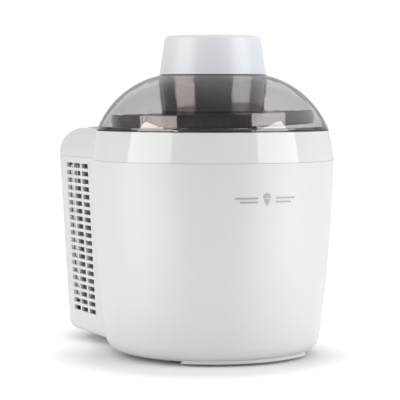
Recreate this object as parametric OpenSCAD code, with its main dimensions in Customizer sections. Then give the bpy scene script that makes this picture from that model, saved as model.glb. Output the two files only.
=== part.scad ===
// Self-cooling ice cream maker: a round body with a cooled pot, a rear housing
// for the cooling unit, a lift-out bowl, a domed lid and a motor unit on top.
// The pieces are drawn about the bowl's axis, with the front towards -Y, and
// placed() then puts the origin on the table under the middle of the footprint.

/* [Body] */
// Widest radius of the round body, at the seam between the shells
body_r = 102.9; // [102:0.1:104]
// Height of the seam between the lower and the upper shell
seam_z = 165.5; // [163:0.5:168]
// Height of the rim that the lid closes
rim_z = 190.1; // [189.5:0.1:190.5]
// Radius of the rim
rim_r = 98.8; // [98.4:0.1:99.2]
// Clear height under the body
under_z = 3.6; // [3.2:0.1:4]
// Wall thickness of the shells
wall = 2.5; // [2:0.1:3]
// Radius of the body's rounded lower edge
foot_round = 13; // [10:1:15]

/* [Rear housing] */
// Half the width of the rear housing at the seam
rear_half_w = 85.3; // [84:0.1:87]
// Distance from the bowl's axis to the back of the housing
rear_reach = 163; // [160:0.5:166]
// Draft of the housing's walls, in degrees
draft = 3.18; // [2.5:0.01:3.5]
// Corner radius of the housing seen from above
rear_corner = 24; // [22.5:0.5:27]
// Radius of the housing's top edge
rear_top_round = 22; // [18:1:22]
// Clear height under the rear housing
rear_under_z = 7.5; // [6:0.5:9]

/* [Grille] */
// Rows of air slots in each side wall
grille_rows = 20; // [10:1:20]
// Distance between the rows
grille_pitch = 6.77; // [6.5:0.01:6.8]
// Height of one slot
slot_h = 4.1; // [3:0.1:4.5]
// Length of one slot
slot_w = 15; // [10:0.5:15]

/* [Lid] */
// Radius of the dome's arc
dome_arc = 75.07; // [75:0.01:75.2]
// Thickness of the dome
dome_t = 2.6; // [2:0.1:3]
// Outer radius of the motor well at its mouth
well_top_r = 46.8; // [46.5:0.1:47]
// Outer radius of the motor well at its floor
well_low_r = 43.1; // [42.9:0.1:43.3]
// Slope of the drip tray under the dome, in degrees
tray_tilt = 1.7; // [0:0.1:1.8]

/* [Bowl] */
// Outer radius of the bowl at its rim
bowl_r = 65.3; // [64.8:0.1:65.5]
// Height of the bowl's floor above the table
bowl_floor_z = 87.3; // [87:0.1:88]
// Thickness of the bowl
bowl_t = 1.3; // [1:0.1:1.5]

/* [Motor unit] */
// Height of the cap's top above the table
total_h = 270; // [269:0.5:272]
// Radius of the cap at its foot
cap_foot_r = 45.4; // [45:0.1:45.5]
// Radius of the cap near its top
cap_top_r = 40.6; // [40:0.1:41]
// Module of the gears
gear_m = 0.8; // [0.8:0.1:0.8]
// Teeth of the output gear
output_teeth = 44; // [44:1:44]
// Teeth of the idler's large wheel
idler_teeth = 30; // [30:1:30]
// Teeth of the idler's small wheel
idler_pinion_teeth = 12; // [12:1:12]
// Teeth of the motor's pinion
pinion_teeth = 10; // [10:1:10]

/* [Cooling] */
// Outer size of the square fan
fan_size = 92; // [92:1:92]
// Number of fan blades
fan_blades = 7; // [5:1:9]
// Number of heat sink fins
fin_count = 15; // [9:1:17]

/* [Hidden] */
$fn = 96;
eps = 0.01;
gap = 0.3;               // clearance between pieces that move apart
seam_gap = 0.2;          // width of the visible seam between the shells

mid_y = (body_r - rear_reach) / 2;

// The body's side is one shallow arc
bow_r = 1455;
bow_z = 201.8;
bow_x = body_r - sqrt(bow_r * bow_r - pow(seam_z - bow_z, 2));

// The collar above the seam is a tighter arc through the seam and the rim
collar_r = 300;
collar_mid = [(body_r + rim_r) / 2, (seam_z + rim_z) / 2];
collar_chord = [rim_r - body_r, rim_z - seam_z];
collar_c = collar_mid - unit([collar_chord[1], -collar_chord[0]])
         * sqrt(collar_r * collar_r - pow(norm(collar_chord) / 2, 2));

// The dome's arc passes through the rim
dome_cz = 163.7;
dome_cx = rim_r - sqrt(dome_arc * dome_arc - pow(rim_z - dome_cz, 2));
dome_low_z = rim_z + 1.1;
well_mouth_z = dome_cz + sqrt(pow(dome_arc, 2) - pow(well_top_r - dome_cx, 2));
well_wall = 2.2;
well_floor_z = 201.5;
well_lip_r = 38.2;       // inner radius of the ledge that the motor unit stands on
well_lip_z = dome_cz + sqrt(pow(dome_arc, 2) - pow(well_top_r - well_wall - dome_cx, 2));
spigot_r = [93.6, 95.5]; // ring under the lid that centres it in the collar
tray_z = 194.2;          // underside of the drip tray in the middle
tray_r = 86;
tray_wall = 1.8;
tray_rim_h = 11;

cap_low_z = well_lip_z + 0.35;
cap_bend_z = cap_low_z + 3;
cap_wall = 2.4;
boss_r = 36.6;           // boss of the motor unit, under the well
boss_low_z = 191.5;
shaft_r = 4;
shaft_top_z = 203.2;
can_r = 15.5;            // motor can
wheel_z = 208.5;         // underside of the idler's large wheel
plate_z = [215, 216.6];  // gear plate
can_z = [216.65, 252];
motor_shaft_r = 1.5;
drive_hex_r = 3.9;       // corner radius of the drive shaft's hexagon

blade_r = 61.5;          // reach of the scraper blades
blade_t = 3.2;
paddle_z = [bowl_floor_z + 2.4, 189.5];
paddle_arm_z = [164, 172];

deck_z = 184;            // top of the deck inside the rim
deck_t = 2;
deck_hole_r = 67.5;
recess_r = rim_r - wall; // inside of the collar above the deck

rear_top_z = rim_z + 0.1;
rear_xc = rear_half_w - rear_corner;
rear_yc = rear_reach - rear_corner;
rear_low_round = 8;
rear_front_y = 30;       // where the housing starts, inside the body

hatch_half_w = 60;       // opening behind the rear cover
hatch_low_z = 18;
hatch_top_z = 150;
hatch_ledge = 6;
hatch_front_y = 130;     // the hatch cuts everything behind this

grille_top_z = 157.7;
grille_columns = [83, 102, 119.5];

pot_in_r = 66;
pot_t = 2;
pot_floor_z = 84;
pot_pad_y = 70;          // flat pad on the pot's back
pot_flange_r = 76;
pot_flange_z = deck_z - deck_t - 0.1;
pot_screw_r = 72.5;
foam_r = 91;
foam_z = [62, 176];

block_y = [70.1, 78];    // the cooling unit, from the pot to the fan
peltier_y = [78.1, 82];
sink_y = [82.1, 88, 112];
shroud_y = [113, 115.5];
fan_y = [115.6, 140.6];
fan_z = 110;
peltier_z = [92, 121];   // undersides of the two modules
peltier_size = [40, 26];
block_z = [90, 148];
sink_z = [56, 164];
fin_t = 1.4;
sink_half_w = 50;

board_z = 20;
board_size = [104, 76, 1.6];

rocker_x = 52;
rocker_y = 129;
rocker_pivot_z = 184.9;
rocker_r = 8.1;
rocker_rest_tilt = 8;

inlet_x = -36;
inlet_z = 36;

base_plate_z = 2.2;
base_plate_r = 73.8;
base_plate_wall = 1.6;
base_screw_r = 70.2;     // circle that the base screws stand on
lip_angle = 42;          // half the arc of the lip under the front edge
lip_r = 84.4;
front_foot = [47, -36];
rear_foot = [38, 118];

// The gear train: motor pinion, idler with two wheels, output gear on the axis
idler_x = gear_m * (output_teeth + idler_pinion_teeth) / 2;
motor_x = idler_x - gear_m * (idler_teeth + pinion_teeth) / 2;
pressure_angle = 25;
output_turn = 180 / output_teeth;
idler_pinion_turn = mesh_turn(0, output_teeth, idler_pinion_teeth, output_turn);
pinion_turn = mesh_turn(180, idler_teeth, pinion_teeth, 0);

// ---------- shared shapes ----------

function unit(v) = v / norm(v);
function rear_face_y(z) = rear_reach + (z - seam_z) * tan(draft);
function well_in_r(z) =
    well_low_r - well_wall
    + (z - well_floor_z) * (well_top_r - well_low_r) / (well_mouth_z - well_floor_z);

// Moves a piece from the bowl's axis to the middle of the footprint
module placed() translate([0, mid_y, 0]) children();

// A drum from height z0 to z1
module drum(r, z0, z1) translate([0, 0, z0]) cylinder(r = r, h = z1 - z0);

// A flat ring from height z0 to z1
module band(r_out, r_in, z0, z1)
    difference() {
        drum(r_out, z0, z1);
        drum(r_in, z0 - 1, z1 + 1);
    }

// A block from one corner to the other
module block(low, high) translate(low) cube(high - low);

// What is cut off a corner p, between its neighbours a and b, to round it
module round_off(p, a, b, r) {
    da = unit(a - p);
    db = unit(b - p);
    half = acos(da * db) / 2;
    inward = unit(da + db);
    c = p + inward * r / sin(half);
    difference() {
        polygon([p - inward * r / 3, p + da * r / tan(half), c, p + db * r / tan(half)]);
        translate(c) circle(r = r);
    }
}

// A polygon whose corners are rounded by the given radii, 0 for a sharp one
module smooth_polygon(points, radii) {
    n = len(points);
    difference() {
        polygon(points);
        for (i = [0:n - 1])
            if (radii[i] > 0)
                round_off(points[i], points[(i + n - 1) % n], points[(i + 1) % n], radii[i]);
    }
}

// A rectangle centred on the origin with round corners
module soft_rect(w, h, r)
    smooth_polygon([[-w / 2, -h / 2], [w / 2, -h / 2], [w / 2, h / 2], [-w / 2, h / 2]],
                   [r, r, r, r]);

// A pan-head screw with its head up, at the origin, and a cross recess
module screw(head_r, head_h, shank_r, shank_h) {
    difference() {
        drum(head_r, 0, head_h);
        for (turn = [0, 90])
            rotate([0, 0, turn])
                block([-head_r * 0.6, -head_r * 0.12, head_h * 0.45],
                      [head_r * 0.6, head_r * 0.12, head_h + 1]);
    }
    drum(shank_r, -shank_h, eps);
}

// The body's half section, drawn in from its outside by inset
module body_section(inset, low_z, high_z) {
    side = bow_r - inset;
    round_r = foot_round - inset;
    cz = low_z + round_r;
    cx = bow_x + sqrt(pow(side - round_r, 2) - pow(cz - bow_z, 2));
    out = unit([cx - bow_x, cz - bow_z]);
    difference() {
        intersection() {
            translate([bow_x, bow_z]) circle(r = side, $fn = 1440);
            translate([0, low_z]) square([body_r + 10, high_z - low_z]);
        }
        difference() {
            polygon([[cx, cz], [cx, low_z - round_r], [cx + 3 * round_r, low_z - round_r],
                     [cx, cz] + out * 3 * round_r]);
            translate([cx, cz]) circle(r = round_r);
        }
    }
}

module body_solid(inset, low_z, high_z) rotate_extrude($fn = 180) body_section(inset, low_z, high_z);

// The section of the rear housing's wall, out from the axis of its corner
module rear_section(inset) {
    low_z = rear_under_z + inset;
    high_z = rear_top_z - inset;
    low_x = rear_corner - inset + (low_z - seam_z) * tan(draft);
    high_x = rear_corner - inset + (high_z - seam_z) * tan(draft);
    smooth_polygon([[0, low_z], [low_x, low_z], [high_x, high_z], [0, high_z]],
                   [0, rear_low_round - inset, rear_top_round - inset, 0]);
}

// The rear housing as a drafted block with rounded edges
module rear_solid(inset) {
    front = rear_front_y - 4 * inset;
    for (side = [0, 1])
        mirror([side, 0, 0]) {
            translate([rear_xc, rear_yc, 0])
                rotate_extrude(angle = 90) rear_section(inset);
            translate([rear_xc, rear_yc, 0])
                rotate([90, 0, 0])
                    linear_extrude(height = rear_yc - front) rear_section(inset);
        }
    translate([-rear_xc, rear_yc, 0])
        rotate([90, 0, 90])
            linear_extrude(height = 2 * rear_xc) rear_section(inset);
    block([-rear_xc, front, rear_under_z + inset], [rear_xc, rear_yc, rear_top_z - inset]);
}

// The frame of the rear wall at height z: +Y points out of it
module on_rear_wall(x, z)
    translate([x, rear_face_y(z), z]) rotate([-draft, 0, 0]) children();

// One involute gear outline
module gear_outline(teeth, turn) {
    pitch_r = teeth * gear_m / 2;
    base_r = pitch_r * cos(pressure_angle);
    tip_r = pitch_r + 0.85 * gear_m;
    root_r = pitch_r - 1.15 * gear_m;
    play = 0.1;
    half = 90 / teeth - play / pitch_r * 90 / PI + spread(pitch_r, base_r);
    low_r = max(root_r, base_r + eps);
    flank = [for (i = [0:4]) low_r + (tip_r - low_r) * i / 4];
    polygon([for (k = [0:teeth - 1])
        let (mid = turn + 360 * k / teeth)
        each concat(
            [polar(root_r, mid - half)],
            [for (r = flank) polar(r, mid - half + spread(r, base_r))],
            [for (i = [4:-1:0]) polar(flank[i], mid + half - spread(flank[i], base_r))],
            [polar(root_r, mid + half)])]);
}

function polar(r, a) = [r * cos(a), r * sin(a)];
// Angle that an involute has turned through at radius r
function spread(r, base_r) =
    let (t = sqrt(max(0, pow(r / base_r, 2) - 1))) t * 180 / PI - atan(t);
// Turn of a second gear, in the direction dir from the first, that brings them into mesh
function mesh_turn(dir, teeth_a, teeth_b, turn_a) =
    dir + 180 - 180 / teeth_b - (turn_a - dir) * teeth_a / teeth_b;

// A round lead swept along its route
module lead(route, r) {
    n = len(route);
    sides = 8;
    heading = [for (i = [0:n - 1])
        unit(route[min(i + 1, n - 1)] - route[max(i - 1, 0)])];
    across = [for (h = heading) unit(cross(h, abs(h[2]) < 0.9 ? [0, 0, 1] : [1, 0, 0]))];
    points = [for (i = [0:n - 1]) for (k = [0:sides - 1])
        route[i] + r * (cos(360 * k / sides) * across[i]
                      + sin(360 * k / sides) * cross(heading[i], across[i]))];
    skin = [for (i = [0:n - 2]) for (k = [0:sides - 1])
        let (a = i * sides + k, b = i * sides + (k + 1) % sides)
        each [[a, a + sides, b], [b, a + sides, b + sides]]];
    ends = [[for (k = [0:sides - 1]) k],
            [for (k = [sides - 1:-1:0]) (n - 1) * sides + k]];
    polyhedron(points = points, faces = concat(skin, ends));
}

// Points along a smooth curve through four guide points
function bend(a, b, c, d, steps) = [for (i = [0:steps])
    let (t = i / steps, s = 1 - t)
    a * s * s * s + 3 * b * s * s * t + 3 * c * s * t * t + d * t * t * t];

// ---------- casing ----------

module hatch(grow, low_y)
    translate([0, low_y, (hatch_low_z + hatch_top_z) / 2])
        rotate([-90, 0, 0])
            linear_extrude(height = 40)
                soft_rect(2 * (hatch_half_w + grow), hatch_top_z - hatch_low_z + 2 * grow, 8 + grow);

module grille_slots()
    for (row = [0:grille_rows - 1])
        for (y = grille_columns)
            translate([0, y, grille_top_z - row * grille_pitch])
                cube([4 * rear_half_w, slot_w, slot_h], center = true);

module lower_shell() placed() color("white")
    difference() {
        union() {
            difference() {
                union() {
                    body_solid(0, under_z, seam_z - seam_gap / 2);
                    rear_solid(0);
                }
                body_solid(wall, under_z + 2 * wall, seam_z + 1);
                rear_solid(wall);
                hatch(0, hatch_front_y);
            }
            // ledge that the rear cover is screwed to
            intersection() {
                difference() {
                    rear_solid(wall - eps);
                    rear_solid(2 * wall);
                }
                difference() {
                    hatch(hatch_ledge / 2, hatch_front_y);
                    hatch(-hatch_ledge, hatch_front_y - 5);
                }
            }
        }
        // everything above the seam belongs to the upper shell
        block([-150, -150, seam_z - seam_gap / 2], [150, 250, 250]);
        grille_slots();
        drum(66, 0, 30);
        drum(base_plate_r + 0.4, 0, under_z + 2.4);
        for (a = [45:90:315]) rotate([0, 0, a]) translate([base_screw_r, 0, 0]) drum(1.5, 0, 30);
        rear_screw_places() translate([0, -12, 0]) rotate([-90, 0, 0]) drum(1.4, 0, 24);
    }

module upper_shell() placed() color("white")
    difference() {
        union() {
            difference() {
                union() {
                    rotate_extrude($fn = 180)
                        intersection() {
                            translate(collar_c) circle(r = collar_r, $fn = 720);
                            translate([0, seam_z + seam_gap / 2])
                                square([body_r + 10, rim_z - seam_z - seam_gap / 2]);
                        }
                    rear_solid(0);
                }
                rear_solid(wall);
                drum(body_r - 2 * wall, seam_z - 5, deck_z - deck_t);
            }
            // deck round the bowl, down to the pot's flange
            drum(recess_r + eps, deck_z - deck_t, deck_z);
        }
        drum(recess_r, deck_z, rim_z + 5);
        drum(deck_hole_r, 100, 200);
        // everything below the seam belongs to the lower shell
        block([-150, -150, 0], [150, 250, seam_z + seam_gap / 2]);
        switch_places() block([-6.6, -9.7, -20], [6.6, 9.7, 20]);
        translate([0, 88, 0]) block([-9.2, -3.7, 170], [9.2, 3.7, 200]);
    }

module rear_screw_places()
    for (x = [-1, 1])
        for (z = [hatch_low_z + 5, hatch_top_z - 5])
            on_rear_wall(x * (hatch_half_w - 5), z) children();

module rear_cover() placed() color("white")
    difference() {
        intersection() {
            difference() {
                rear_solid(0);
                rear_solid(wall - 0.05);
            }
            hatch(-0.25, hatch_front_y);
        }
        // air intake: slots inside a circle, split by a middle rib
        for (k = [-5:5])
            for (side = [-1, 1]) {
                z = fan_z - 6 + k * 7.6;
                reach = sqrt(pow(45, 2) - pow(abs(k) * 7.6, 2));
                translate([side * (reach + 2.5) / 2, 150, z])
                    cube([reach - 2.5, 60, 4], center = true);
            }
        rear_screw_places() translate([0, -6, 0]) rotate([-90, 0, 0]) drum(1.7, 0, 12);
        on_rear_wall(inlet_x, inlet_z) block([-12.2, -8, -8.2], [12.2, 8, 8.2]);
    }

module rear_screws() placed() color("silver")
    rear_screw_places() translate([0, 0.05, 0]) rotate([-90, 0, 0]) screw(3, 1.8, 1.35, 7);

module base_plate() placed() color("gainsboro")
    difference() {
        union() {
            drum(base_plate_r, base_plate_z, under_z + 2.3);
            // lip under the front edge of the body
            rotate([0, 0, 270 - lip_angle])
                rotate_extrude(angle = 2 * lip_angle) {
                    translate([72, base_plate_z]) square([lip_r - 72, 1.2]);
                    translate([lip_r - 6, base_plate_z]) square([6, 4]);
                }
        }
        drum(69.5, base_plate_z + base_plate_wall, 20);
        body_gap();
        for (a = [45:90:315])
            rotate([0, 0, a]) translate([base_screw_r, 0, 0]) drum(1.7, 0, 20);
        for (k = [-4:4])
            translate([0, k * 8, 0]) cube([60, 3.2, 20], center = true);
    }

// The room that the lower shell takes above the base plate's lip
module body_gap()
    difference() {
        body_solid(-0.15, under_z - 0.15, 30);
        drum(74, 0, 40);
    }

module base_screws() placed() color("silver")
    for (a = [45:90:315])
        rotate([0, 0, a])
            translate([base_screw_r, 0, base_plate_z - 0.05])
                mirror([0, 0, 1]) screw(2.9, 1.6, 1.45, 5.5);

module rubber_feet() placed() color("dimgray") {
    for (x = [-1, 1]) {
        translate([x * front_foot[0], front_foot[1], 0]) foot(9, base_plate_z - 0.05);
        translate([x * rear_foot[0], rear_foot[1], 0]) foot(8, rear_under_z - 0.05);
    }
}

module foot(r, h)
    rotate_extrude()
        smooth_polygon([[0, 0], [r - 0.6, 0], [r, h], [0, h]], [0, 0.5, 0, 0]);

// A cone pictogram with a pair of short lines on each side
module front_emblem() placed() color("darkgray")
    intersection() {
        difference() {
            body_solid(-0.25, under_z, seam_z - 2);
            body_solid(-eps, under_z - 1, seam_z);
        }
        translate([0, -60, 137.7])
            rotate([90, 0, 0])
                linear_extrude(height = 60) {
                    polygon([[-3, -0.6], [3, -0.6], [0, -6.4]]);
                    difference() {
                        translate([0, 0.9]) circle(r = 3.4);
                        translate([-5, -6]) square([10, 6]);
                    }
                    for (side = [-1, 1])
                        for (step = [0, 1])
                            translate([side * (8 + 9.5 - step * 2), step * -3.2])
                                soft_rect(19 - 4 * step, 1.4, 0.6);
                }
    }

// ---------- cooling unit ----------

module cooling_pot() placed() color("silver")
    difference() {
        union() {
            drum(pot_in_r + pot_t, pot_floor_z, pot_flange_z);
            drum(pot_flange_r, pot_flange_z - 1.8, pot_flange_z);
            block([-30, 40, 88], [30, pot_pad_y, 150]);
        }
        drum(pot_in_r, pot_floor_z + 2.4, 200);
        pot_screw_places() drum(1.6, 0, 200);
    }

module pot_screw_places()
    for (a = [30, 150, 210, 330])
        rotate([0, 0, a]) translate([pot_screw_r, 0, 0]) children();

module pot_screws() placed() color("silver")
    pot_screw_places()
        translate([0, 0, pot_flange_z - 1.85]) mirror([0, 0, 1]) screw(2.7, 1.5, 1.4, 1.8);

module pot_insulation() placed() color("lightyellow")
    difference() {
        drum(foam_r, foam_z[0], foam_z[1]);
        drum(pot_in_r + pot_t + 0.2, pot_floor_z - 0.2, 200);
        block([-150, 76, 0], [150, 150, 200]);
        block([-31, 40, 87], [31, 90, 151]);
    }

module cold_block() placed() color("silver")
    difference() {
        block([-29, block_y[0], block_z[0]], [29, block_y[1], block_z[1]]);
        sink_screw_places() rotate([90, 0, 0]) drum(1.6, -8, 40);
    }

module peltier_modules() placed() color("whitesmoke")
    for (low_z = peltier_z)
        block([-peltier_size[0] / 2, peltier_y[0], low_z],
              [peltier_size[0] / 2, peltier_y[1], low_z + peltier_size[1]]);

module sink_screw_places()
    for (x = [-24.5, 24.5]) for (z = [block_z[0] + 6, block_z[1] - 6])
        translate([x, sink_y[1], z]) children();

module heat_sink() placed() color("silver")
    difference() {
        union() {
            block([-sink_half_w, sink_y[0], sink_z[0]], [sink_half_w, sink_y[1], sink_z[1]]);
            for (k = [0:fin_count - 1])
                translate([0, 0, sink_z[0] + 1 + k * (sink_z[1] - sink_z[0] - 2 - fin_t) / (fin_count - 1)])
                    block([-sink_half_w, sink_y[1] - eps, 0], [sink_half_w, sink_y[2], fin_t]);
        }
        sink_screw_places() rotate([90, 0, 0]) {
            drum(1.8, -1, 20);
            drum(3.4, -40, 0);
        }
    }

module sink_screws() placed() color("dimgray")
    sink_screw_places() translate([0, 0.05, 0]) rotate([-90, 0, 0]) screw(2.9, 2, 1.5, 15);

module fan_screw_places()
    for (x = [-1, 1]) for (z = [-1, 1])
        translate([x * 41.25, 0, fan_z + z * 41.25]) children();

module fan_shroud() placed() color("white") {
    difference() {
        block([-79.5, shroud_y[0], 22], [79.5, shroud_y[1], 158]);
        translate([0, 100, fan_z]) rotate([-90, 0, 0]) drum(44, 0, 30);
        fan_screw_places() rotate([-90, 0, 0]) drum(1.6, 100, 130);
        // notches for the leads
        block([26, 100, 44], [34, 130, 60]);
        block([-50, 100, 20], [-36, 130, 37]);
        // the housing narrows towards its foot
        for (side = [0, 1])
            mirror([side, 0, 0])
                translate([82.3, 90, seam_z]) rotate([0, draft, 0])
                    block([-0.6, 0, -180], [40, 60, 20]);
    }
    // flanges along the side walls
    for (side = [0, 1])
        mirror([side, 0, 0])
            translate([82.3, 0, seam_z]) rotate([0, draft, 0])
                block([-2.4, shroud_y[1] - eps, -130], [-0.6, 128, -8]);
}

module fan_frame() placed() color("dimgray")
    difference() {
        union() {
            difference() {
                block([-fan_size / 2, fan_y[0], fan_z - fan_size / 2],
                      [fan_size / 2, fan_y[1], fan_z + fan_size / 2]);
                translate([0, 0, fan_z]) rotate([-90, 0, 0]) drum(43.5, 90, 160);
            }
            // hub seat on three arms, at the back
            translate([0, 0, fan_z]) rotate([-90, 0, 0]) drum(17, fan_y[1] - 3, fan_y[1]);
            for (a = [90, 210, 330])
                translate([0, fan_y[1] - 3, fan_z]) rotate([0, a, 0])
                    block([15, 0.3, -2], [44, 2.7, 2]);
            translate([0, 0, fan_z]) rotate([-90, 0, 0]) drum(3, fan_y[0] + 8, fan_y[1] - 2.5);
        }
        fan_screw_places() rotate([-90, 0, 0]) drum(2, 90, 160);
        // the side between the flanges is set back
        for (a = [0:90:270])
            translate([0, 0, fan_z]) rotate([0, a, 0])
                block([-32, fan_y[0] + 4, 44.8], [32, fan_y[1] - 4, 60]);
    }

module fan_screws() placed() color("silver")
    fan_screw_places()
        translate([0, fan_y[1] + 0.05, 0]) rotate([-90, 0, 0]) screw(3.2, 1.8, 1.5, 27);

// One blade is a pitched slab cut to the fan's swept ring
module fan_rotor() placed() color("black")
    translate([0, 0, fan_z]) rotate([-90, 0, 0])
        difference() {
            union() {
                drum(19, fan_y[0] + 2, fan_y[1] - 4);
                intersection() {
                    band(41.5, 10, fan_y[0] + 2.5, fan_y[1] - 5);
                    for (k = [0:fan_blades - 1])
                        rotate([0, 0, k * 360 / fan_blades])
                            translate([0, 0, (fan_y[0] + fan_y[1]) / 2 - 1])
                                rotate([38, 0, 0])
                                    block([15, -14, -0.8], [45, 14, 0.8]);
                }
            }
            drum(3.05, fan_y[0] + 7, 160);
            band(17, 5, fan_y[0] + 4, 160);
        }

// ---------- electrics ----------

module board_corners()
    for (x = [-1, 1]) for (y = [-1, 1])
        translate([x * (board_size[0] / 2 - 5), y * (board_size[1] / 2 - 5) - 4, 0]) children();

module power_board() placed() color("green")
    difference() {
        block([-board_size[0] / 2, -board_size[1] / 2 - 4, board_z],
              [board_size[0] / 2, board_size[1] / 2 - 4, board_z + board_size[2]]);
        board_corners() drum(1.6, 0, 50);
    }

module board_standoffs() placed() color("ivory")
    board_corners() difference() {
        union() {
            drum(3.5, base_plate_z + base_plate_wall + 0.05, board_z - 0.05);
            drum(1.5, board_z - 1, board_z + 3);
        }
        drum(0.8, 10, 60);
    }

module transformer() placed() color("gold")
    translate([-26, -8, board_z + board_size[2] + 0.05]) {
        block([-17, -14, 0], [17, 14, 5]);
        difference() {
            block([-15, -18, 5], [15, 18, 30]);
            block([-9, -30, 11], [9, 30, 24]);
        }
        block([-11, -11, 4], [11, 11, 28]);
    }

module capacitors() placed() color("black")
    for (at = [[12, -26, 8, 26], [32, -24, 6.5, 21], [14, 12, 5, 16], [28, 14, 5, 16]])
        translate([at[0], at[1], board_z + board_size[2] + 0.05])
            rotate_extrude()
                smooth_polygon([[0, 0], [at[2], 0], [at[2], at[3]], [0, at[3]]], [0, 0.6, 1, 0]);

module board_chips() placed() color("dimgray")
    for (at = [[38, 4, 6, 18, 12], [2, -8, 10, 10, 8], [-34, 24, 16, 8, 9], [2, 22, 12, 10, 3]])
        translate([at[0] - at[2] / 2, at[1] - at[3] / 2, board_z + board_size[2] + 0.05])
            cube([at[2], at[3], at[4]]);

// Figure-eight mains inlet in the rear cover
module power_inlet() placed() color("black")
    on_rear_wall(inlet_x, inlet_z)
        difference() {
            union() {
                block([-15, 0.05, -11], [15, 1.6, 11]);
                block([-12, -18, -8], [12, 0.1, 8]);
            }
            translate([0, 4, 0]) rotate([90, 0, 0]) linear_extrude(height = 19) inlet_mouth();
            for (x = [-4.3, 4.3]) translate([x, 0, 0]) rotate([90, 0, 0]) drum(1.22, 10, 30);
        }

module inlet_mouth() soft_rect(16, 9, 4);

module inlet_pins() placed() color("goldenrod")
    on_rear_wall(inlet_x, inlet_z)
        for (x = [-4.3, 4.3]) translate([x, 0, 0]) rotate([90, 0, 0]) drum(1.2, 2, 22);

module mains_lead() placed() color("black")
    lead(bend([-41, 134, 33], [-41, 110, 27], [-60, 60, 30], [-36, 24, 33.1], 24), 2.2);

module peltier_leads() placed() {
    color("firebrick")
        lead(bend([21.5, 79.3, 93], [24, 79.6, 20], [40, 78, 36], [37, 8, 34.9], 22), 1);
    color("black")
        lead(bend([21.5, 79.3, 97], [28, 79.8, 24], [44, 78, 40], [40, 8, 34.9], 22), 1);
}

module fan_lead() placed() color("black")
    lead(bend([30, 120, 62.6], [30, 118, 36], [14, 70, 30], [3, 21, 26], 22), 1.1);

// ---------- switches on the rear top ----------

module switch_places()
    for (x = [-1, 1]) translate([x * rocker_x, rocker_y, rear_top_z]) children();

module switch_housings() placed() color("dimgray")
    switch_places()
        difference() {
            union() {
                translate([0, 0, 0.05])
                    linear_extrude(height = 0.7) soft_rect(15, 21, 2);
                block([-6.4, -9.5, -17], [6.4, 9.5, 0.1]);
            }
            block([-5.3, -8.5, -12], [5.3, 8.5, 5]);
        }

module rocker(x) translate([x, rocker_y, rocker_pivot_z])
    rotate([90, 0, 90])
        linear_extrude(height = 10, center = true)
            rotate(rocker_rest_tilt)
                intersection() {
                    circle(r = rocker_r);
                    polygon([[-9, -3], [9, -3], [9, 6.2], [0, 4.9], [-9, 6.2]]);
                }

module cooling_rocker() placed() color("slategray") rocker(-rocker_x);

module stirring_rocker() placed() color("slategray") rocker(rocker_x);

// ---------- bowl and paddle ----------

// The bowl's half section; it tapers a little, so that it lifts out freely
module bowl_section(inset, top_z)
    smooth_polygon([[0, bowl_floor_z + inset], [bowl_r - 0.9 - inset, bowl_floor_z + inset],
                    [bowl_r - inset, top_z], [0, top_z]],
                   [0, 10 - inset, 0, 0]);

module bowl() placed() color("silver") {
    rim = deck_z + gap;
    rotate_extrude($fn = 144)
        difference() {
            union() {
                bowl_section(0, rim + 1);
                smooth_polygon([[60, rim], [72, rim], [72, rim + 2.4], [60, rim + 2.4]],
                               [0, 0.4, 1.1, 0]);
            }
            bowl_section(bowl_t, rim + 10);
        }
    // a pair of grips to lift it by
    for (side = [0, 180])
        rotate([0, 0, side])
            translate([0, 0, rim + 0.2])
                linear_extrude(height = 1.5)
                    smooth_polygon([[68, -17], [81, -13], [81, 13], [68, 17]], [0, 6, 6, 0]);
}

module paddle() placed() color("white")
    difference() {
        union() {
            rotate_extrude()
                smooth_polygon([[0, paddle_z[0]], [13, paddle_z[0]],
                                [11, 104], [8, 112], [8, paddle_z[1]], [0, paddle_z[1]]],
                               [0, 1, 3, 0, 1, 0]);
            for (side = [0, 180])
                rotate([0, 0, side]) {
                    // floor arm
                    block([0, -4, paddle_z[0]], [50, 4, paddle_z[0] + 7.6]);
                    // upper arm
                    block([0, -3, paddle_arm_z[0]], [56, 3, paddle_arm_z[1]]);
                    // blade, turned to sweep inwards
                    translate([52, 0, 0])
                        rotate([0, 0, 32])
                            block([-11, -blade_t / 2, paddle_z[0]], [8.4, blade_t / 2, paddle_arm_z[1]]);
                    // inner blade, turned the other way
                    translate([28, 0, 0])
                        rotate([0, 0, -32])
                            block([-9, -blade_t / 2, paddle_z[0]], [9, blade_t / 2, 150]);
                }
        }
        // hexagon socket for the drive shaft
        translate([0, 0, 176]) cylinder(r = drive_hex_r + 0.15, h = 30, $fn = 6);
        // the lower outer corners clear the bowl's rounded edge
        rotate_extrude()
            polygon([[blade_r, 80], [70, 80], [70, 200], [blade_r, 200]]);
        rotate_extrude()
            polygon([[52, 80], [70, 80], [70, 105], [blade_r - 0.5, 103], [56.5, 94.5], [52, 90]]);
    }

// ---------- lid ----------

module lid_dome() placed() color("rosybrown", 0.5)
    rotate_extrude($fn = 180) {
        // dome
        intersection() {
            difference() {
                translate([dome_cx, dome_cz]) circle(r = dome_arc, $fn = 360);
                translate([dome_cx, dome_cz]) circle(r = dome_arc - dome_t, $fn = 360);
            }
            translate([well_top_r - well_wall, dome_low_z]) square([80, 60]);
        }
        // flange that stands on the seal
        translate([spigot_r[0], dome_low_z]) square([4.4, 1.8]);
        // spigot inside the collar
        translate([spigot_r[0], deck_z + 1.4])
            square([spigot_r[1] - spigot_r[0], rim_z - deck_z]);
        // well for the motor unit
        smooth_polygon([[well_lip_r, well_floor_z],
                        [well_low_r, well_floor_z],
                        [well_top_r, well_mouth_z],
                        [well_top_r - well_wall, well_mouth_z],
                        [well_low_r - well_wall, well_floor_z + 2.2],
                        [well_lip_r, well_floor_z + 2.2]],
                       [0.8, 1.6, 0, 0, 0, 0.8]);
    }

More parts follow.
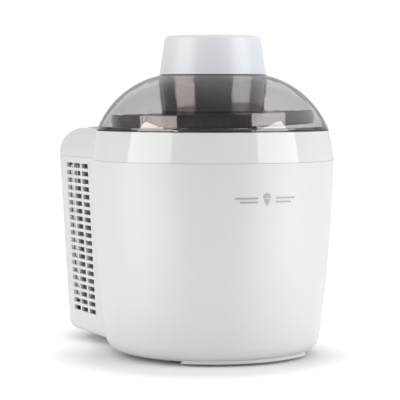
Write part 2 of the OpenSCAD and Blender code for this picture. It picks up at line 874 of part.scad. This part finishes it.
// Shallow tray under the dome that sheds drips to one side
module drip_tray() placed() color("rosybrown", 0.5)
    difference() {
        translate([0, 0, tray_z]) rotate([0, -tray_tilt, 0])
            rotate_extrude($fn = 180)
                smooth_polygon([[39.8, 0], [tray_r, 0], [tray_r, tray_rim_h],
                                [tray_r - tray_wall, tray_rim_h], [tray_r - tray_wall, 1.6],
                                [39.8, 1.6]],
                               [0, 0.6, 0.6, 0.6, 0, 0]);
        // room for the wire duct
        block([-7, 60, 196.4], [7, 100, 220]);
    }

module lid_seal() placed() color("black")
    rotate_extrude($fn = 180)
        translate([spigot_r[1] + 0.1, rim_z + gap])
            square([rim_r - spigot_r[1] - 0.4, dome_low_z - rim_z - gap - 0.02]);

module lid_wire_duct() placed() color("dimgray")
    intersection() {
        translate([-5, 0, 0]) rotate([90, 0, 90])
            linear_extrude(height = 10)
                difference() {
                    translate([dome_cx, dome_cz]) circle(r = dome_arc - dome_t - 0.4, $fn = 360);
                    translate([dome_cx, dome_cz]) circle(r = dome_arc - dome_t - 4.6, $fn = 360);
                }
        block([-20, well_top_r + 0.2, 199], [20, 120, 260]);
    }

module lid_plug() placed() color("dimgray")
    difference() {
        block([-8, 86.4, deck_z + 2.2], [8, 91, 198.9]);
        contact_places() drum(1.05, 0, 194);
    }

module contact_places()
    for (x = [-4, 4]) translate([x, 88.4, 0]) children();

module lid_contact_pins() placed() color("goldenrod")
    contact_places() drum(1, 176, 194);

module lid_socket() placed() color("dimgray")
    difference() {
        union() {
            block([-9, 84.5, 168], [9, 91.5, deck_z + 0.4]);
            block([-11, 83, deck_z - deck_t - 1.5], [11, 93, deck_z - deck_t - 0.1]);
        }
        contact_places() drum(1.5, 172, 200);
    }

module well_contacts() placed() color("goldenrod")
    for (x = [-4, 4])
        translate([x, well_in_r(222) - 0.42, 222])
            rotate([-atan((well_top_r - well_low_r) / (well_mouth_z - well_floor_z)), 0, 0])
                block([-1.5, -0.5, 0], [1.5, 0, 10]);

// ---------- motor unit ----------

module cap_solid(inset)
    rotate_extrude($fn = 180)
        smooth_polygon([[0, cap_low_z - (inset > 0 ? 5 : 0)],
                        [cap_foot_r - inset, cap_low_z - (inset > 0 ? 5 : 0)],
                        [cap_foot_r - inset - 0.6, cap_bend_z],
                        [cap_top_r - inset, total_h - inset],
                        [0, total_h - inset]],
                       [0, 0, 0, 4.2 - inset * 0.8, 0]);

module motor_cap() placed() color("white")
    difference() {
        cap_solid(0);
        cap_solid(cap_wall);
    }

// Tapered cup that stands in the lid's well, with a ribbed boss through its floor
module motor_base() placed() color("dimgray") {
    low_z = well_floor_z + 2.2 + gap;
    difference() {
        union() {
            rotate_extrude($fn = 144)
                polygon([[0, low_z], [well_in_r(low_z) - 0.5, low_z],
                         [well_in_r(well_mouth_z) - 0.5, well_mouth_z - 0.1],
                         [41.9, well_mouth_z - 0.1], [41.5, well_mouth_z + 4.5],
                         [0, well_mouth_z + 4.5]]);
            drum(boss_r, boss_low_z, low_z + 1);
            for (a = [0:10:350])
                rotate([0, 0, a]) translate([boss_r, 0, 0]) drum(1, boss_low_z + 0.5, low_z);
        }
        rotate_extrude($fn = 144)
            polygon([[0, low_z + 3], [37.8, low_z + 3], [39.9, well_mouth_z], [39.9, 260], [0, 260]]);
        drum(boss_r - 1.8, boss_low_z + 2.2, 210);
        drum(6.02, 180, 200);
        // room for the contact springs
        block([-6.5, 30, 219], [6.5, 60, 234]);
    }
    // posts under the gear plate
    plate_screw_places() difference() {
        drum(3.2, boss_low_z + 2, plate_z[0] - 0.1);
        drum(1.1, 200, 230);
    }
}

module plate_screw_places()
    for (at = [[-28, 14], [-28, -14], [10, 30], [10, -30]])
        translate([at[0], at[1], 0]) children();

module motor_contacts() placed() color("goldenrod")
    for (x = [-4, 4])
        translate([x, 0, 0]) {
            block([-1.2, 36, 221], [1.2, 36.6, 232]);
            block([-1.2, 36.5, 226], [1.2, well_in_r(227) - 0.95 - gap, 228.5]);
        }

module shaft_bush() placed() color("goldenrod")
    difference() {
        union() {
            drum(6, 190.6, 195);
            drum(8, 193.75, 195);
        }
        drum(shaft_r + 0.05, 180, 200);
    }

module gear_plate() placed() color("silver")
    difference() {
        drum(34, plate_z[0], plate_z[1]);
        translate([motor_x, 0, 0]) drum(6, 200, 220);
        translate([idler_x, 0, 0]) drum(1.48, 200, 220);
        plate_screw_places() drum(1.6, 200, 220);
    }

module plate_screws() placed() color("silver")
    plate_screw_places() translate([0, 0, plate_z[1] + 0.05]) screw(2.8, 1.6, 1.05, 8);

module motor_can() placed() color("silver")
    translate([motor_x, 0, 0])
        difference() {
            union() {
                rotate_extrude()
                    smooth_polygon([[0, can_z[0]], [can_r, can_z[0]], [can_r, can_z[1]],
                                    [0, can_z[1]]],
                                   [0, 1, 2, 0]);
                drum(5, can_z[1] - 1, can_z[1] + 2.5);
            }
            drum(motor_shaft_r + 0.05, 200, can_z[1] + 1.5);
            drum(4, 200, can_z[0] + 1.8);
            drum(can_r - 1.5, can_z[0] + 3.1, can_z[1] - 2);
        }

// The motor's slotted rotor and its commutator, on the pinion's shaft
module motor_armature() placed() color("peru")
    translate([motor_x, 0, 0])
        difference() {
            union() {
                difference() {
                    drum(12.6, can_z[0] + 6, can_z[0] + 27);
                    for (a = [0:72:288])
                        rotate([0, 0, a])
                            block([8, -0.9, can_z[0]], [20, 0.9, can_z[1]]);
                }
                drum(4.2, can_z[0] + 26, can_z[0] + 32);
            }
            drum(motor_shaft_r + 0.02, 200, 260);
        }

module idler_pin() placed() color("silver")
    translate([idler_x, 0, 0]) drum(1.45, 193.75, plate_z[1]);

module motor_pinion() placed() color("goldenrod")
    translate([motor_x, 0, 0]) {
        translate([0, 0, wheel_z - 0.2])
            linear_extrude(height = 5.4) gear_outline(pinion_teeth, pinion_turn);
        drum(motor_shaft_r, wheel_z - 0.7, can_z[1] + 1);
    }

module idler_gear() placed() color("ivory")
    translate([idler_x, 0, 0])
        difference() {
            union() {
                translate([0, 0, 195.6])
                    linear_extrude(height = wheel_z - 195.5)
                        gear_outline(idler_pinion_teeth, idler_pinion_turn);
                translate([0, 0, wheel_z]) linear_extrude(height = 5) gear_outline(idler_teeth, 0);
                drum(3, 194.2, wheel_z + 5.9);
            }
            drum(1.5, 190, 220);
        }

module output_gear() placed() color("ivory")
    difference() {
        union() {
            translate([0, 0, 196.2]) linear_extrude(height = 6) gear_outline(output_teeth, output_turn);
            drum(7.5, 195.3, shaft_top_z);
        }
        drum(shaft_r + 0.03, 190, 220);
        for (a = [0:60:300]) rotate([0, 0, a]) translate([11.3, 0, 0]) drum(2.4, 190, 220);
    }

module drive_shaft() placed() color("silver") {
    drum(shaft_r, 190.4, shaft_top_z);
    translate([0, 0, 177.5]) cylinder(r = drive_hex_r, h = 13, $fn = 6);
}

lower_shell();
upper_shell();
rear_cover();
base_plate();
rubber_feet();
base_screws();
rear_screws();
front_emblem();
cooling_pot();
pot_insulation();
pot_screws();
cold_block();
peltier_modules();
heat_sink();
sink_screws();
fan_shroud();
fan_frame();
fan_screws();
fan_rotor();
power_board();
transformer();
capacitors();
board_chips();
board_standoffs();
power_inlet();
inlet_pins();
mains_lead();
peltier_leads();
fan_lead();
switch_housings();
cooling_rocker();
stirring_rocker();
lid_socket();
bowl();
paddle();
lid_dome();
drip_tray();
lid_seal();
lid_plug();
lid_contact_pins();
lid_wire_duct();
well_contacts();
motor_cap();
motor_base();
motor_contacts();
shaft_bush();
gear_plate();
plate_screws();
motor_can();
motor_armature();
idler_pin();
motor_pinion();
idler_gear();
output_gear();
drive_shaft();
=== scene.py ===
import math

import bmesh
import bpy
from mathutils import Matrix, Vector


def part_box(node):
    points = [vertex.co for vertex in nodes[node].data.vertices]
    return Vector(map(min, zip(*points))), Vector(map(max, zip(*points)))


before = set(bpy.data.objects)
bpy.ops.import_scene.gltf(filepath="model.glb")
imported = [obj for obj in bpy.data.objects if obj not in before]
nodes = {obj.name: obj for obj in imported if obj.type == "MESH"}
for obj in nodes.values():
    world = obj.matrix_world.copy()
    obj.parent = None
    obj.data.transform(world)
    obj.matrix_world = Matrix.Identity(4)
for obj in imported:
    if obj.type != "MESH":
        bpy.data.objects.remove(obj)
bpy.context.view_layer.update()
scene = bpy.context.scene

bowl_low, bowl_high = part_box("bowl")
AXIS_Y = (bowl_low[1] + bowl_high[1]) / 2       # the bowl's axis is the body's axis
CAMERA_TURN = math.radians(-25)                 # the photograph's direction, round that axis
MM = 0.001


# ---------------------------------------------------------------- materials

class Look:
    """One procedural material: a Principled shader and the nodes that drive it."""

    def __init__(self, name, **constants):
        self.m = bpy.data.materials.new(name)
        self.m.use_nodes = True
        self.tree = self.m.node_tree
        self.tree.nodes.clear()
        self.out = self.new("ShaderNodeOutputMaterial")
        self.p = self.new("ShaderNodeBsdfPrincipled")
        self.join(self.p.outputs[0], self.out.inputs[0])
        self.co = self.new("ShaderNodeTexCoord").outputs["Object"]
        self.normal = None
        for key, value in constants.items():
            self.p.inputs[key.replace("_", " ")].default_value = value

    def new(self, kind, **settings):
        n = self.tree.nodes.new(kind)
        for key, value in settings.items():
            setattr(n, key, value)
        return n

    def join(self, a, b):
        self.tree.links.new(a, b)

    def placed(self, scale=(1, 1, 1), shift=(0, 0, 0)):
        n = self.new("ShaderNodeMapping")
        self.join(self.co, n.inputs["Vector"])
        n.inputs["Location"].default_value = shift
        n.inputs["Scale"].default_value = scale
        return n.outputs[0]

    def noise(self, scale, detail=3.0, rough=0.5, co=None):
        n = self.new("ShaderNodeTexNoise")
        self.join(co or self.co, n.inputs["Vector"])
        n.inputs["Scale"].default_value = scale
        n.inputs["Detail"].default_value = detail
        n.inputs["Roughness"].default_value = rough
        return n.outputs["Fac"]

    def cells(self, scale):
        n = self.new("ShaderNodeTexVoronoi")
        self.join(self.co, n.inputs["Vector"])
        n.inputs["Scale"].default_value = scale
        return n.outputs["Distance"]

    def wave(self, scale, warp, axis):
        n = self.new("ShaderNodeTexWave", bands_direction=axis)
        self.join(self.co, n.inputs["Vector"])
        n.inputs["Scale"].default_value = scale
        n.inputs["Distortion"].default_value = warp
        return n.outputs["Fac"]

    def ranged(self, value, low, high, to_low, to_high):
        n = self.new("ShaderNodeMapRange")
        self.join(value, n.inputs["Value"])
        for key, v in (("From Min", low), ("From Max", high), ("To Min", to_low), ("To Max", to_high)):
            n.inputs[key].default_value = v
        return n.outputs[0]

    def math(self, kind, a, b):
        n = self.new("ShaderNodeMath", operation=kind)
        for i, v in enumerate((a, b)):
            if isinstance(v, (int, float)):
                n.inputs[i].default_value = v
            else:
                self.join(v, n.inputs[i])
        return n.outputs[0]

    def tint(self, value, a, b):
        n = self.new("ShaderNodeMix", data_type="RGBA")
        self.join(value, n.inputs[0])
        for i, c in ((6, a), (7, b)):
            if isinstance(c, (tuple, list)):
                n.inputs[i].default_value = (*c, 1)
            else:
                self.join(c, n.inputs[i])
        return n.outputs[2]

    def mix(self, share, a, b):
        n = self.new("ShaderNodeMixShader")
        for i, socket in enumerate((share, a, b)):
            self.join(socket, n.inputs[i])
        return n.outputs[0]

    def split(self, co=None):
        n = self.new("ShaderNodeSeparateXYZ")
        self.join(co or self.co, n.inputs[0])
        return n.outputs

    def radius(self, x0, y0):
        """Distance from the upright line through (x0, y0)."""
        flat = self.new("ShaderNodeVectorMath", operation="MULTIPLY")
        self.join(self.placed(shift=(-x0, -y0, 0)), flat.inputs[0])
        flat.inputs[1].default_value = (1, 1, 0)
        length = self.new("ShaderNodeVectorMath", operation="LENGTH")
        self.join(flat.outputs[0], length.inputs[0])
        return length.outputs["Value"]

    def bump(self, height, strength, distance):
        n = self.new("ShaderNodeBump")
        n.inputs["Strength"].default_value = strength
        n.inputs["Distance"].default_value = distance
        self.join(height, n.inputs["Height"])
        if self.normal is not None:
            self.join(self.normal, n.inputs["Normal"])
        self.normal = n.outputs[0]
        self.join(self.normal, self.p.inputs["Normal"])

    def colour(self, socket):
        self.join(socket, self.p.inputs["Base Color"])

    def rough(self, socket):
        self.join(socket, self.p.inputs["Roughness"])


def shades(c, dark, light):
    return tuple(v * dark for v in c), tuple(min(v * light, 1) for v in c)


def moulded(name, c, rough, grain, depth, spread=0.05, ior=1.5):
    """Moulded plastic: faint cloudiness, patchy gloss and a spark-eroded grain, in millimetres."""
    k = Look(name, IOR=ior)
    low, high = shades(c, 0.975, 1.015)
    k.colour(k.tint(k.noise(14, 3), low, high))
    patches = k.ranged(k.noise(60, 4, 0.6), 0.3, 0.7, rough - spread, rough + spread)
    k.rough(patches)
    k.bump(k.noise(1 / (grain * MM), 2, 0.6), 0.35, depth * MM)
    k.bump(k.noise(9, 1), 0.25, 0.12 * MM)
    return k


def metal(name, c, rough, along=(1, 1, 40)):
    """Metal with a fine grain, drawn out into lines where along differs from axis to axis."""
    k = Look(name, Metallic=1.0)
    low, high = shades(c, 0.93, 1.03)
    lines = k.noise(900, 3, 0.6, k.placed(scale=along))
    k.colour(k.tint(lines, low, high))
    k.rough(k.ranged(k.noise(120, 3), 0.3, 0.7, rough - 0.06, rough + 0.08))
    k.bump(lines, 0.5, 0.02 * MM)
    return k


looks = {}

# The collar's high gloss, with the barely visible waviness of a moulded skin.
k = Look("gloss_white", IOR=1.34)
k.colour(k.tint(k.noise(11, 2), (0.685, 0.70, 0.695), (0.705, 0.72, 0.715)))
k.rough(k.ranged(k.noise(220, 3), 0.35, 0.65, 0.045, 0.085))
k.bump(k.noise(26, 1), 0.2, 0.06 * MM)
looks["gloss_white"] = k

looks["satin_white"] = moulded("satin_white", (0.685, 0.69, 0.69), 0.42, 0.55, 0.05, ior=1.33)
looks["cap_white"] = moulded("cap_white", (0.74, 0.765, 0.795), 0.34, 0.45, 0.03, ior=1.36)
looks["black_plastic"] = moulded("black_plastic", (0.018, 0.018, 0.02), 0.38, 0.5, 0.06)
looks["dark_grey_plastic"] = moulded(
    "dark_grey_plastic", (0.040, 0.036, 0.033), 0.09, 0.6, 0.01, spread=0.03, ior=1.9)

# The motor unit's base: polished round the side, dull black on its ribbed boss.
BASE_ROUGH, BOSS_ROUGH = 0.09, 0.6
BOSS_HEIGHT = 15 * MM
base_look = moulded("motor_base", (0.50, 0.47, 0.44), BASE_ROUGH, 0.6, 0.01, spread=0.03, ior=2.1)
boss_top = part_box("motor_base")[0][2] + BOSS_HEIGHT
boss = base_look.math("LESS_THAN", base_look.split()[2], boss_top)
side_colour = base_look.p.inputs["Base Color"].links[0].from_socket
base_look.colour(base_look.tint(boss, side_colour, (0.010, 0.009, 0.009)))
base_look.rough(base_look.ranged(boss, 0, 1, BASE_ROUGH, BOSS_ROUGH))

looks["paddle_white"] = moulded("paddle_white", (0.78, 0.78, 0.75), 0.36, 0.5, 0.04)
looks["rocker_grey"] = moulded("rocker_grey", (0.22, 0.225, 0.25), 0.34, 0.45, 0.04)
looks["gear_ivory"] = moulded("gear_ivory", (0.70, 0.65, 0.52), 0.32, 0.4, 0.02)
looks["black_anodised"] = moulded("black_anodised", (0.008, 0.007, 0.007), 0.6, 0.3, 0.03)
looks["black_anodised"].p.inputs["Specular IOR Level"].default_value = 0.15
looks["ceramic"] = moulded("ceramic", (0.80, 0.80, 0.77), 0.62, 0.25, 0.05)

# Share of the tint that a lamp's light takes on at each surface that it crosses.
LAMP_TINT = 0.3


def smoked(name, c, ior=1.6):
    """Smoked clear plastic: tinted, polished, with faint flow lines. Lamps shine through it."""
    k = Look(name, IOR=ior)
    k.p.inputs["Transmission Weight"].default_value = 1.0
    low, high = shades(c, 0.985, 1.015)
    k.colour(k.tint(k.noise(20, 2), low, high))
    k.rough(k.ranged(k.noise(300, 3), 0.3, 0.7, 0.0, 0.004))
    k.bump(k.noise(18, 1), 0.1, 0.01 * MM)
    clear = k.new("ShaderNodeBsdfTransparent")
    clear.inputs[0].default_value = (*(v ** LAMP_TINT for v in c), 1)
    path = k.new("ShaderNodeLightPath")
    # Where light leaves the plastic, only the part that goes straight on is followed.
    onward = k.new("ShaderNodeBsdfRefraction")
    onward.inputs["Color"].default_value = (*(math.sqrt(v) for v in c), 1)
    onward.inputs["Roughness"].default_value = 0
    onward.inputs["IOR"].default_value = ior
    entered = k.math("GREATER_THAN", path.outputs["Transmission Depth"], 0.5)
    leaving = k.math("MULTIPLY", entered, k.new("ShaderNodeNewGeometry").outputs["Backfacing"])
    seen_part = k.mix(leaving, k.p.outputs[0], onward.outputs[0])
    k.join(k.mix(path.outputs["Is Shadow Ray"], seen_part, clear.outputs[0]), k.out.inputs[0])
    return k


looks["smoke_clear"] = smoked("smoke_clear", (0.66, 0.64, 0.645))
tray_look = smoked("smoke_tray", (0.36, 0.33, 0.32), 2.1)

# A printed film with the slight mottle of screen ink.
k = Look("grey_print", IOR=1.45)
k.colour(k.tint(k.noise(1800, 3, 0.7), (0.33, 0.34, 0.35), (0.39, 0.40, 0.41)))
k.rough(k.ranged(k.noise(400, 3), 0.3, 0.7, 0.36, 0.5))
k.bump(k.noise(2600, 2), 0.3, 0.02 * MM)
looks["grey_print"] = k

# Rubber with a little dust on it.
for name, c, rough in (("rubber_grey", (0.055, 0.055, 0.056), 0.8),
                       ("seal_black", (0.012, 0.012, 0.012), 0.62)):
    k = Look(name, IOR=1.45)
    dust = k.noise(160, 5, 0.65)
    low, high = shades(c, 0.85, 1.5)
    k.colour(k.tint(k.ranged(dust, 0.45, 0.8, 0, 1), low, high))
    k.rough(k.ranged(dust, 0.3, 0.7, rough - 0.08, rough + 0.12))
    k.bump(k.noise(2400, 3, 0.7), 0.5, 0.06 * MM)
    looks[name] = k

looks["aluminium"] = metal("aluminium", (0.70, 0.71, 0.72), 0.34)
looks["steel"] = metal("steel", (0.56, 0.56, 0.58), 0.3, (1, 1, 1))
looks["brass"] = metal("brass", (0.71, 0.52, 0.21), 0.22, (1, 1, 1))

# Spun and anodised: fine rings round the bowl's axis.
k = Look("bowl_aluminium", Metallic=1.0)
around = k.radius(0, AXIS_Y)
level = k.split()[2]
profile = k.new("ShaderNodeCombineXYZ")
k.join(around, profile.inputs[0])
k.join(level, profile.inputs[1])
rings = k.noise(2200, 3, 0.6, profile.outputs[0])
k.colour(k.tint(rings, (0.64, 0.64, 0.65), (0.74, 0.74, 0.75)))
k.rough(k.ranged(k.noise(90, 4), 0.3, 0.7, 0.29, 0.34))
k.bump(rings, 0.4, 0.02 * MM)
looks["bowl_aluminium"] = k

# Closed-cell foam. Its near-black colour also paints the shade inside the housing behind the grille's
# slots.
k = Look("foam", IOR=1.25)
pores = k.cells(700)
k.colour(k.tint(k.ranged(pores, 0, 0.6, 0, 1), (0.004, 0.003, 0.003), (0.014, 0.010, 0.008)))
k.rough(k.ranged(k.noise(300, 2), 0.3, 0.7, 0.82, 0.95))
k.bump(pores, 0.7, 0.4 * MM)
looks["foam"] = k

# Solder mask over copper tracks, with bare pads.
k = Look("board_green", IOR=1.5)
tracks = k.new("ShaderNodeTexBrick", offset=0.5)
TRACKS_PER_METRE = 260
k.join(k.placed(scale=(TRACKS_PER_METRE,) * 3), tracks.inputs["Vector"])
tracks.inputs["Mortar Size"].default_value = 0.06
tracks.inputs["Scale"].default_value = 1.0
mask = k.tint(tracks.outputs["Fac"], (0.010, 0.085, 0.035), (0.02, 0.15, 0.06))
pads = k.math("LESS_THAN", k.cells(210), 0.16)
k.colour(k.tint(pads, mask, (0.62, 0.60, 0.56)))
k.rough(k.ranged(k.noise(500, 2), 0.3, 0.7, 0.22, 0.34))
k.bump(tracks.outputs["Fac"], 0.4, 0.06 * MM)
looks["board_green"] = k

# Stacked laminations with amber tape between them.
k = Look("copper_core", IOR=1.5)
sheets = k.wave(900, 0.3, "Z")
k.colour(k.tint(sheets, (0.30, 0.16, 0.035), (0.48, 0.27, 0.06)))
k.rough(k.ranged(k.noise(300, 3), 0.3, 0.7, 0.3, 0.5))
k.bump(sheets, 0.5, 0.1 * MM)
looks["copper_core"] = k

# Shrink sleeve, with the bare can showing on top.
k = Look("capacitor_sleeve", IOR=1.5)
up = k.new("ShaderNodeTexCoord").outputs["Normal"]
top = k.math("GREATER_THAN", k.split(up)[2], 0.9)
sleeve = k.tint(k.noise(200, 2), (0.010, 0.011, 0.03), (0.018, 0.02, 0.05))
k.colour(k.tint(top, sleeve, (0.66, 0.67, 0.68)))
k.join(top, k.p.inputs["Metallic"])
k.rough(k.ranged(k.noise(260, 3), 0.3, 0.7, 0.22, 0.36))
k.bump(k.noise(500, 2), 0.3, 0.03 * MM)
looks["capacitor_sleeve"] = k

# Cable jacket: extruded, with a faint lengthwise drag and dust.
k = Look("wire_black", IOR=1.48)
k.colour(k.tint(k.noise(350, 4, 0.6), (0.012, 0.012, 0.013), (0.03, 0.03, 0.031)))
k.rough(k.ranged(k.noise(240, 3), 0.3, 0.7, 0.4, 0.56))
k.bump(k.noise(1500, 2), 0.4, 0.05 * MM)
looks["wire_black"] = k

# Each node wears the look of its material slot, but two have a look of their own.
own_looks = {"drip_tray": tray_look, "motor_base": base_look}
for name, o in nodes.items():
    key = o.material_slots[0].material.name.split(".")[0]
    if key not in looks:
        raise SystemExit(f"no look for {key} on {name}")
    o.data.materials.clear()
    o.data.materials.append(own_looks.get(name, looks[key]).m)


# ---------------------------------------------------------------- stage, lights, camera

def turned(angle, distance, height=0.0):
    """A point at that angle from the camera's direction, round the bowl's axis."""
    a = CAMERA_TURN + math.radians(angle)
    return Vector((math.sin(a) * distance, -math.cos(a) * distance + AXIS_Y, height))


def aimed(o, point, target):
    o.location = point
    o.rotation_euler = (Vector(target) - Vector(point)).to_track_quat("-Z", "Y").to_euler()


def softbox(name, angle, distance, low, high, width, radiance, c=(1, 1, 1)):
    """An upright lamp that lights matt surfaces. Mirrors and clear parts don't show it."""
    lamp = bpy.data.lights.new(name, "AREA")
    lamp.shape = "RECTANGLE"
    lamp.size, lamp.size_y = width, high - low
    lamp.color = c
    lamp.energy = radiance * math.pi * width * (high - low)
    o = bpy.data.objects.new(name, lamp)
    scene.collection.objects.link(o)
    middle = (low + high) / 2
    aimed(o, turned(angle, distance, middle), (0, AXIS_Y, middle))
    o.visible_camera = o.visible_glossy = o.visible_transmission = False
    return o


TABLE_R = 0.36
TABLE_THICK = 0.02
TABLE_EDGE = 4 * MM        # rounding of the top edge
TABLE_SIDES = 128


def table_mesh():
    """A round table top with a rounded edge, round the bowl's axis, its top at z = 0."""
    profile = ((0.1, 0), (0.22, 0), (TABLE_R - TABLE_EDGE, 0),
               (TABLE_R - 0.3 * TABLE_EDGE, -0.3 * TABLE_EDGE), (TABLE_R, -TABLE_EDGE),
               (TABLE_R, -TABLE_THICK), (0.2, -TABLE_THICK))
    turns = [i * math.tau / TABLE_SIDES for i in range(TABLE_SIDES)]
    bm = bmesh.new()
    rings = [[bm.verts.new((r * math.cos(t), AXIS_Y + r * math.sin(t), z)) for t in turns]
             for r, z in profile]
    middle = bm.verts.new((0, AXIS_Y, 0))
    for i in range(TABLE_SIDES):
        j = (i + 1) % TABLE_SIDES
        bm.faces.new((middle, rings[0][i], rings[0][j]))
        for a, b in zip(rings, rings[1:]):
            bm.faces.new((a[i], b[i], b[j], a[j]))
    bm.faces.new(reversed(rings[-1]))
    mesh = bpy.data.meshes.new("floor")
    bm.to_mesh(mesh)
    bm.free()
    return mesh


floor = bpy.data.objects.new("floor", table_mesh())
scene.collection.objects.link(floor)
k = Look("floor_pale", IOR=1.4)
k.colour(k.tint(k.noise(30, 3), (0.86, 0.86, 0.86), (0.88, 0.88, 0.88)))
k.rough(k.ranged(k.noise(80, 3), 0.3, 0.7, 0.55, 0.7))
k.bump(k.noise(700, 2), 0.2, 0.03 * MM)
k.p.inputs["Emission Color"].default_value = (1, 1, 1, 1)

# The floor glows a little, a painted light, so that it goes over into the white room. The glow fades
# under the round body and under the rear housing: a painted shadow of the machine on the floor.
GLOW = 0.5
HOUSING_FROM_AXIS = 0.105
body_shade = turned(-14, 0.034)
painted_body_shadow = k.ranged(k.radius(body_shade.x, body_shade.y), 0.092, 0.162, 0.02, GLOW)
painted_housing_shadow = k.ranged(k.radius(0, AXIS_Y + HOUSING_FROM_AXIS), 0.065, 0.11, 0.04, GLOW)
k.join(k.math("MINIMUM", painted_body_shadow, painted_housing_shadow), k.p.inputs["Emission Strength"])
floor.data.materials.append(k.m)

for side, angle, radiance, c in (("left", -68, 2.05, (1.0, 0.99, 0.98)),
                                 ("right", 68, 2.0, (0.98, 0.99, 1.0))):
    softbox("lamp_" + side, angle, 1.15, -0.45, 1.2, 0.95, radiance, c)
top_lamp = softbox("lamp_top", 0, 0.25, 0, 1.0, 1.2, 1.6)
aimed(top_lamp, turned(0, 0.3, 1.5), (0, AXIS_Y, 0.1))
softbox("lamp_fill", 0, 2.4, 0.0, 1.3, 1.6, 0.5)

# The room: a bright backdrop, a dim front, and two tall strips of light at the sides. The
# strips show only in reflections, and the lamps light the matt surfaces in their place.
ROOM_DIM = 0.3                       # the front's radiance
BACKDROP_TURN = 140                  # degrees, where the backdrop is brightest
BACKDROP_GAIN = 0.28                 # the backdrop's radiance above the front's, for matt surfaces
CLEAR_GAIN = 0.47                    # the same again through clear parts
MIRROR_GAIN = 0.21                   # and again in reflections
STRIP_NEAR = (41.6, 42.4)            # degrees from the camera's direction, on both sides:
STRIP_FAR = (87.6, 88.4)             # where the strips fade in, and where they fade out
STRIP_LOW = (-0.42, -0.40)           # the same for the upward part of a direction
STRIP_HIGH = (0.65, 0.66)
STRIP_SHIFT = 0.035                  # moves both strips a little to the right
STRIP_RADIANCE = 7.2
WHITE = 1.05                         # what the camera sees of the room
world = bpy.data.worlds.new("studio")
world.use_nodes = True
scene.world = world
tree = world.node_tree
tree.nodes.clear()


def node(kind, *inputs, **settings):
    """A node of the room's shader, with sockets or constants as its first inputs."""
    n = tree.nodes.new(kind)
    for key, value in settings.items():
        setattr(n, key, value)
    for i, v in enumerate(inputs):
        if isinstance(v, bpy.types.NodeSocket):
            tree.links.new(v, n.inputs[i])
        else:
            n.inputs[i].default_value = v
    return n.outputs


def step(value, low, high, to_low=0.0, to_high=1.0):
    return node("ShaderNodeMapRange", value, low, high, to_low, to_high,
                interpolation_type="SMOOTHSTEP")[0]


def calc(kind, *inputs):
    return node("ShaderNodeMath", *inputs, operation=kind)[0]


def along(direction, angle):
    """How far a direction points towards an angle round the machine."""
    a = CAMERA_TURN + math.radians(angle)
    towards = (math.sin(a), -math.cos(a), 0)
    return node("ShaderNodeVectorMath", direction, towards, operation="DOT_PRODUCT")["Value"]


def between(value, fade_in, fade_out):
    """0, then up to 1 over the first range, and down to 0 over the second."""
    return calc("MULTIPLY", step(value, *fade_in), step(value, *fade_out, 1, 0))


def radians(pair):
    return tuple(math.radians(v) for v in pair)


heading = node("ShaderNodeTexCoord")["Generated"]
rays = node("ShaderNodeLightPath")
through, mirrored = rays["Is Transmission Ray"], rays["Is Glossy Ray"]

backdrop = step(along(heading, BACKDROP_TURN), -0.2, 0.5)
gain = calc("MULTIPLY_ADD", through, CLEAR_GAIN, BACKDROP_GAIN)
gain = calc("MULTIPLY_ADD", mirrored, MIRROR_GAIN, gain)
level = calc("MULTIPLY_ADD", backdrop, gain, ROOM_DIM)
room = node("ShaderNodeBackground", (0.985, 0.99, 1, 1), level)[0]

side = along(heading, 90)
turn = calc("ABSOLUTE", calc("ARCTAN2", calc("SUBTRACT", side, STRIP_SHIFT), along(heading, 0)))
wide = between(turn, radians(STRIP_NEAR), radians(STRIP_FAR))
tall = between(node("ShaderNodeSeparateXYZ", heading)[2], STRIP_LOW, STRIP_HIGH)
matt_free = calc("LESS_THAN", rays["Diffuse Depth"], 0.5)       # no matt surface on the way yet
reflected = calc("GREATER_THAN", rays["Glossy Depth"], 0.5)
shown = calc("MULTIPLY", calc("MAXIMUM", through, mirrored), calc("MULTIPLY", matt_free, reflected))
strip = calc("MULTIPLY", calc("MULTIPLY", wide, tall), shown)
tone = node("ShaderNodeMix", step(side, -0.1, 0.1), data_type="RGBA")[2]
tone.node.inputs[6].default_value = (1.0, 0.95, 0.90, 1)         # the left strip is warmer
tone.node.inputs[7].default_value = (0.98, 0.99, 1.0, 1)
strips = node("ShaderNodeBackground", tone, STRIP_RADIANCE)[0]

lit = node("ShaderNodeMixShader", strip, room, strips)[0]
seen = node("ShaderNodeBackground", (1, 1, 1, 1), WHITE)[0]
node("ShaderNodeOutputWorld", node("ShaderNodeMixShader", rays["Is Camera Ray"], lit, seen)[0])
scene.view_settings.view_transform = "Standard"

LENS_MM = 155.6
CAMERA_AT = (-0.6314, -1.3620, 0.2219)
CAMERA_DIP = math.radians(3.547)
CAMERA_YAW = 0.001                   # beyond CAMERA_TURN, in radians
lens = bpy.data.cameras.new("camera")
lens.sensor_width = 36
lens.lens = LENS_MM
lens.clip_start, lens.clip_end = 0.05, 30
camera = bpy.data.objects.new("camera", lens)
scene.collection.objects.link(camera)
camera.location = CAMERA_AT
camera.rotation_euler = (math.radians(90) - CAMERA_DIP, 0, CAMERA_TURN + CAMERA_YAW)
scene.camera = camera
